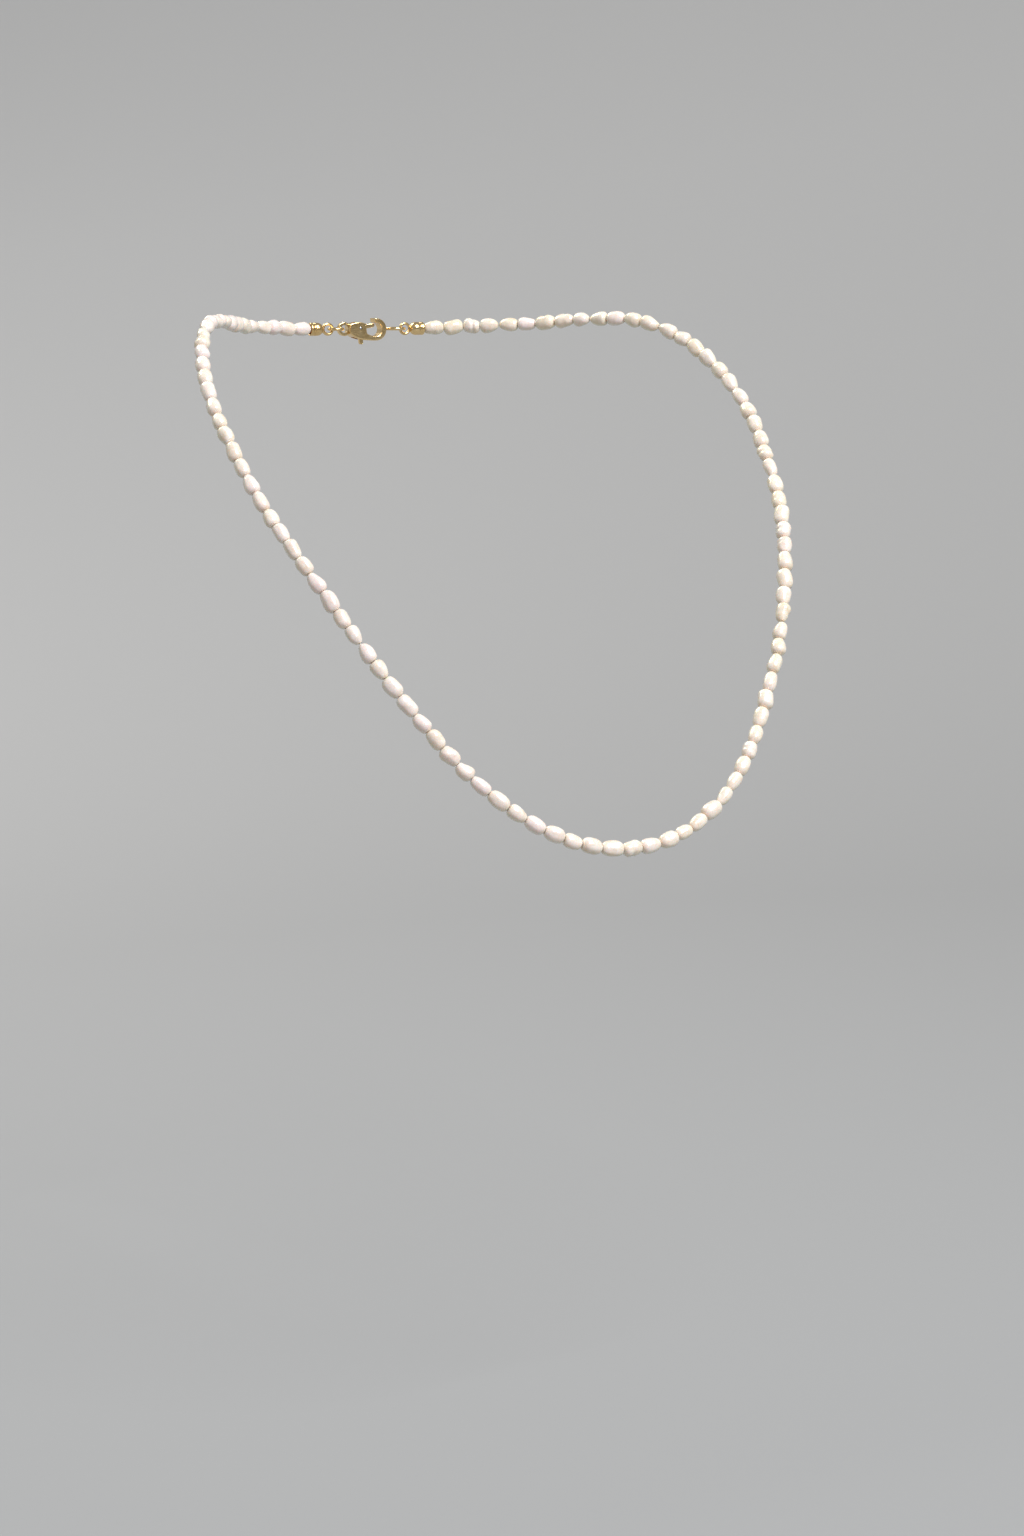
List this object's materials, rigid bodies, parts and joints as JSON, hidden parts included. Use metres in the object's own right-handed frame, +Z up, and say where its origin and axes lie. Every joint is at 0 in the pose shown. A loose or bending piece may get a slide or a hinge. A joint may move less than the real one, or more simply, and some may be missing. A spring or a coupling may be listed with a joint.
{
  "type": "pearl necklace",
  "caption": "Single strand of small oval freshwater pearls on one thread, shaped as worn round a neck, with a sprung lobster clasp between two rings at the nape.",
  "frame": {"origin": "middle of the neck, level with the strand where it crosses the shoulders", "axes": "+Z up, -Y towards the front of the wearer, +X to the right seen from the front"},
  "size_m": [0.123, 0.1204, 0.1024],
  "materials": {
    "pearl": "cream nacre with a soft pink and green orient",
    "thread": "twisted cream beading thread",
    "gold": "polished gold plate",
    "spring_steel": "bright drawn wire"
  },
  "bodies": {
    "shoulder_stretches": {"left_shoulder_pearls_01": "pearl", "left_shoulder_pearls_02": "pearl", "left_shoulder_thread": "thread", "right_shoulder_pearls_01": "pearl", "right_shoulder_pearls_02": "pearl", "right_shoulder_thread": "thread"},
    "front_sides": {"left_side_pearls_01": "pearl", "left_side_pearls_02": "pearl", "left_side_pearls_03": "pearl", "left_side_pearls_04": "pearl", "left_side_pearls_05": "pearl", "left_side_pearls_06": "pearl", "left_side_pearls_07": "pearl", "left_side_thread": "thread", "right_side_pearls_01": "pearl", "right_side_pearls_02": "pearl", "right_side_pearls_03": "pearl", "right_side_pearls_04": "pearl", "right_side_pearls_05": "pearl", "right_side_pearls_06": "pearl", "right_side_pearls_07": "pearl", "right_side_thread": "thread"},
    "front_drop": {"front_pearls_01": "pearl", "front_pearls_02": "pearl", "front_pearls_03": "pearl", "front_pearls_04": "pearl", "front_pearls_05": "pearl", "front_pearls_06": "pearl", "front_pearls_07": "pearl", "front_pearls_08": "pearl", "front_pearls_09": "pearl", "front_pearls_10": "pearl", "front_pearls_11": "pearl", "front_thread": "thread"},
    "left_nape": {"left_nape_pearls_01": "pearl", "left_nape_pearls_02": "pearl", "left_nape_thread": "thread"},
    "left_tail": {"left_tail_pearls_01": "pearl", "left_tail_pearls_02": "pearl", "left_tail_thread": "thread", "left_end_cap": "gold", "left_crimp": "gold"},
    "right_nape": {"right_nape_pearls_01": "pearl", "right_nape_pearls_02": "pearl", "right_nape_thread": "thread"},
    "right_tail": {"right_tail_pearls_01": "pearl", "right_tail_pearls_02": "pearl", "right_tail_thread": "thread", "right_end_cap": "gold", "right_crimp": "gold"},
    "jump_ring": {"jump_ring": "gold"},
    "clasp": {"clasp_body": "gold", "clasp_pin": "spring_steel", "clasp_spring": "spring_steel"},
    "clasp_lever": {"clasp_lever": "gold"},
    "end_ring": {"end_ring": "gold"}
  },
  "joints": [
    {"name": "front_swing", "type": "hinge", "parent": "shoulder_stretches", "child": "front_sides", "pos_m": [0, 0.00135, 0.00057], "axis": [-1, 0, 0], "range_deg": [0, 40]},
    {"name": "front_drop_swing", "type": "hinge", "parent": "front_sides", "child": "front_drop", "pos_m": [0, -0.05845, -0.05747], "axis": [-1, 0, 0], "range_deg": [0, 35]},
    {"name": "left_nape_swing", "type": "hinge", "parent": "shoulder_stretches", "child": "left_nape", "pos_m": [-0.04301, 0.01475, 0.00208], "axis": [0.3008, -0.2005, 0.9324], "range_deg": [0, 40]},
    {"name": "left_tail_swing", "type": "hinge", "parent": "left_nape", "child": "left_tail", "pos_m": [-0.02862, 0.02965, 0.00072], "axis": [0.3008, -0.2005, 0.9324], "range_deg": [0, 40]},
    {"name": "right_nape_swing", "type": "hinge", "parent": "shoulder_stretches", "child": "right_nape", "pos_m": [0.04301, 0.01475, 0.00208], "axis": [0.3008, 0.2005, -0.9324], "range_deg": [0, 40]},
    {"name": "right_tail_swing", "type": "hinge", "parent": "right_nape", "child": "right_tail", "pos_m": [0.02862, 0.02965, 0.00072], "axis": [0.3008, 0.2005, -0.9324], "range_deg": [0, 40]},
    {"name": "jump_ring_lift", "type": "hinge", "parent": "left_tail", "child": "jump_ring", "pos_m": [-0.00879, 0.0365, 0], "axis": [0, -1, 0], "range_deg": [0, 60]},
    {"name": "clasp_lift", "type": "hinge", "parent": "jump_ring", "child": "clasp", "pos_m": [-0.00579, 0.0365, 0], "axis": [0, -1, 0], "range_deg": [0, 60]},
    {"name": "lever_open", "type": "hinge", "parent": "clasp", "child": "clasp_lever", "pos_m": [-0.00201, 0.0365, 0.0002], "axis": [0, 1, 0], "range_deg": [0, 20], "stiffness_Nm_per_rad": 0.002, "springref_deg": -20.05},
    {"name": "end_ring_lift", "type": "hinge", "parent": "right_tail", "child": "end_ring", "pos_m": [0.00879, 0.0365, 0], "axis": [0, 1, 0], "range_deg": [0, 60]}
  ]
}
